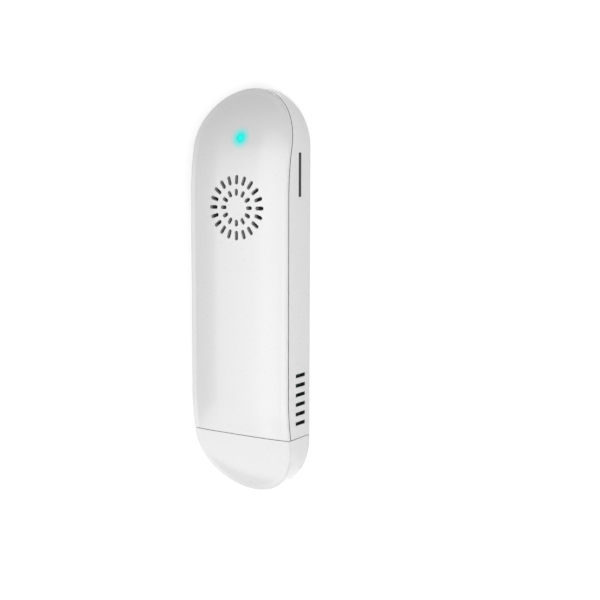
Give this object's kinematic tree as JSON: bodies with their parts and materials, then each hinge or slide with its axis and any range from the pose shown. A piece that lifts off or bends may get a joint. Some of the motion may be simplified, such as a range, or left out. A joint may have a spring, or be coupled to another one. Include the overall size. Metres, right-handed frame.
{
  "type": "hdmi stick computer",
  "caption": "Flat white stick computer with round ends, a slotted fan grille, a status light, side sockets, vents, a power button and a pull-off cap over its HDMI plug.",
  "frame": {"origin": "on the back face, under the middle of the stick's length and width", "axes": "+Z out of the front face, +Y towards the round end with the light, -Y towards the plug, +X towards the card slot"},
  "size_m": [0.0356, 0.125, 0.014],
  "materials": {
    "white_plastic": "glossy white moulding",
    "light_plastic": "clear light pipe, lit cyan",
    "board_green": "solder mask",
    "chip_black": "moulded package",
    "black_plastic": "fine matt",
    "pale_plastic": "fine matt",
    "ceramic": "fired ceramic",
    "wifi_blue": "solder mask",
    "steel": "plated sheet",
    "aluminium": "extruded",
    "contact_gold": "gold plated",
    "brass": "turned",
    "copper": "enamelled wire",
    "ferrite": "sintered",
    "pad_rubber": "soft silicone"
  },
  "bodies": {
    "case": {"back_shell": "white_plastic", "front_cover": "white_plastic", "light_pipe": "light_plastic", "main_board": "board_green", "board_screws": "steel", "processor": "chip_black", "thermal_pad": "pad_rubber", "heatsink": "aluminium", "heatsink_screws": "steel", "memory_chips": "chip_black", "storage_chip": "chip_black", "power_controller": "chip_black", "inductors": "ferrite", "capacitors": "ceramic", "clock_crystal": "steel", "status_led": "pale_plastic", "wifi_board": "wifi_blue", "wifi_shield": "steel", "antenna": "pale_plastic", "fan_standoffs": "brass", "fan_frame": "black_plastic", "fan_bearing": "brass", "fan_stator": "copper", "fan_screws": "steel", "fan_connector": "pale_plastic", "fan_lead": "black_plastic", "hdmi_shell": "steel", "hdmi_core": "black_plastic", "hdmi_contacts": "contact_gold", "usb_a_shell": "steel", "usb_a_tongue": "pale_plastic", "usb_a_contacts": "contact_gold", "micro_usb_shell": "steel", "micro_usb_tongue": "black_plastic", "micro_usb_contacts": "contact_gold", "card_shell": "steel", "card_tray": "black_plastic", "card_contacts": "contact_gold", "switch_body": "steel"},
    "cap": {"end_cap": "white_plastic"},
    "button": {"power_button": "white_plastic", "switch_plunger": "black_plastic"},
    "rotor": {"fan_rotor": "black_plastic", "fan_shaft": "steel", "rotor_magnet": "ferrite"}
  },
  "joints": [
    {"name": "cap_pull", "type": "slide", "parent": "case", "child": "cap", "axis": [0, -1, 0], "range_m": [0, 0.032]},
    {"name": "button_press", "type": "slide", "parent": "case", "child": "button", "axis": [1, 0, 0], "range_m": [0, 0.0003], "stiffness_N_per_m": 800},
    {"name": "fan_spin", "type": "hinge", "parent": "case", "child": "rotor", "pos_m": [0, 0.0267, 0.0105], "axis": [0, 0, 1], "continuous": true}
  ]
}
